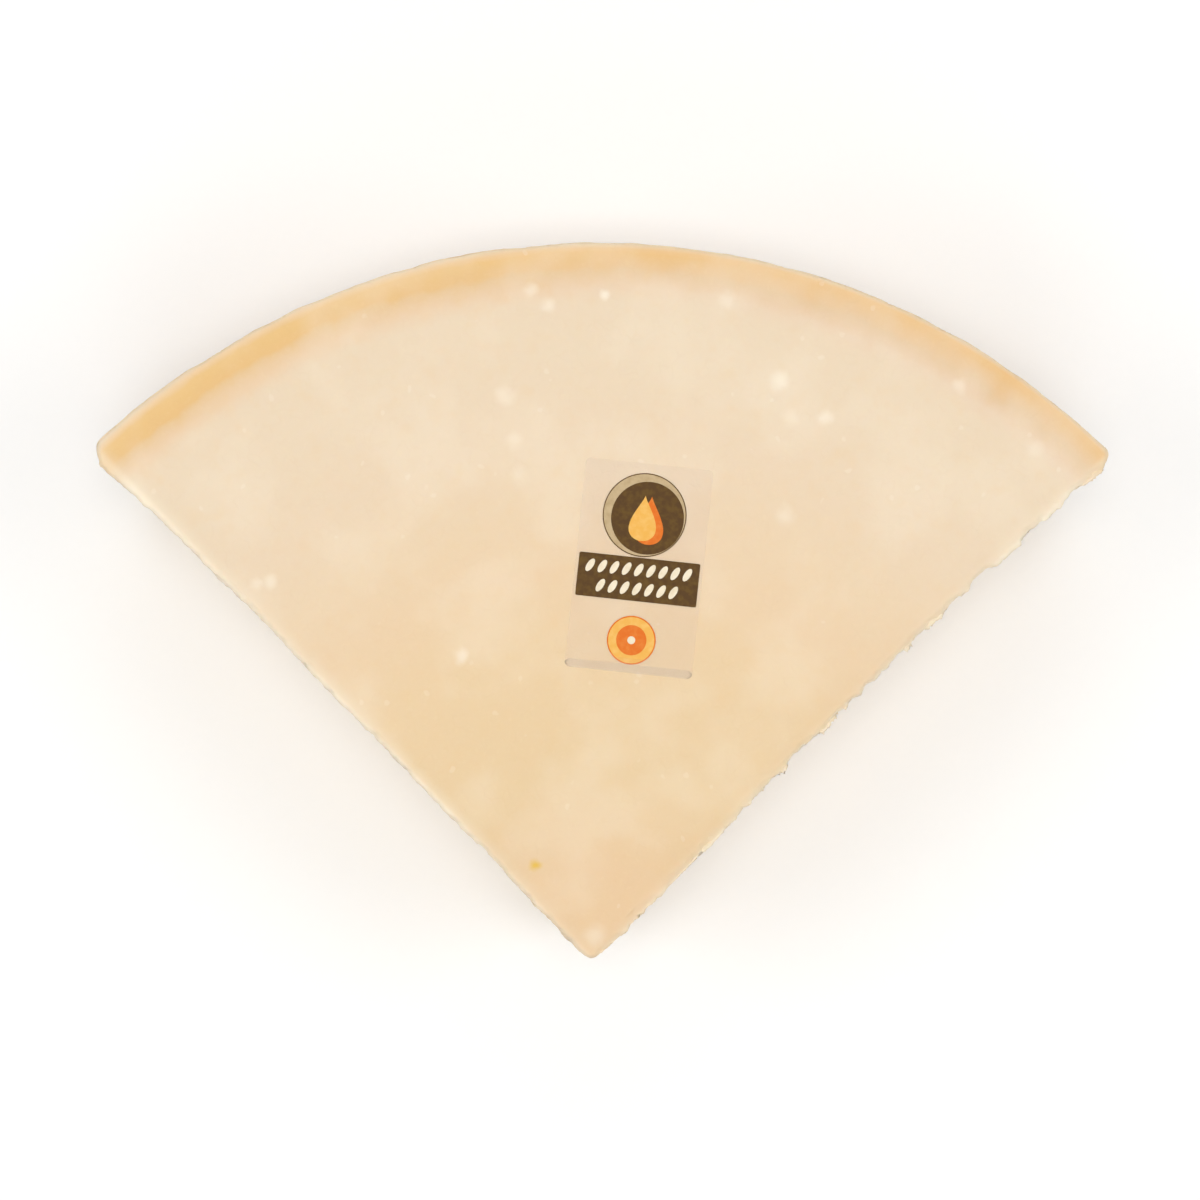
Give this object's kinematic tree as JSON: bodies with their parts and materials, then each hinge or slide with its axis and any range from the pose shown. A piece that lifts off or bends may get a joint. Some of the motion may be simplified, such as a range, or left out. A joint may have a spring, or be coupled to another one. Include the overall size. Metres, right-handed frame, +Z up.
{
  "type": "cheese wedge",
  "caption": "Wedge of hard aged cheese with a golden rind, cut from a wheel and lying on its flat rind face, with a small clear label on the upper cut face.",
  "frame": {"origin": "on the surface the wedge lies on, under the middle of its bounding box", "axes": "+Z up, out of the flat cut face that carries the label; +Y towards the rind and -Y towards the tip; +X along the longest extent, from one upright cut's corner to the other's"},
  "size_m": [0.306, 0.2166, 0.1124],
  "materials": {
    "cheese": "pale granular paste on the cut faces, warmer and waxy on the golden rind",
    "label_film": "clear glossy self-adhesive film",
    "label_print": "dark brown, cream and orange ink printed on the film"
  },
  "bodies": {
    "root": {"cheese_wedge": "cheese", "label_film": "label_film"}
  },
  "joints": []
}
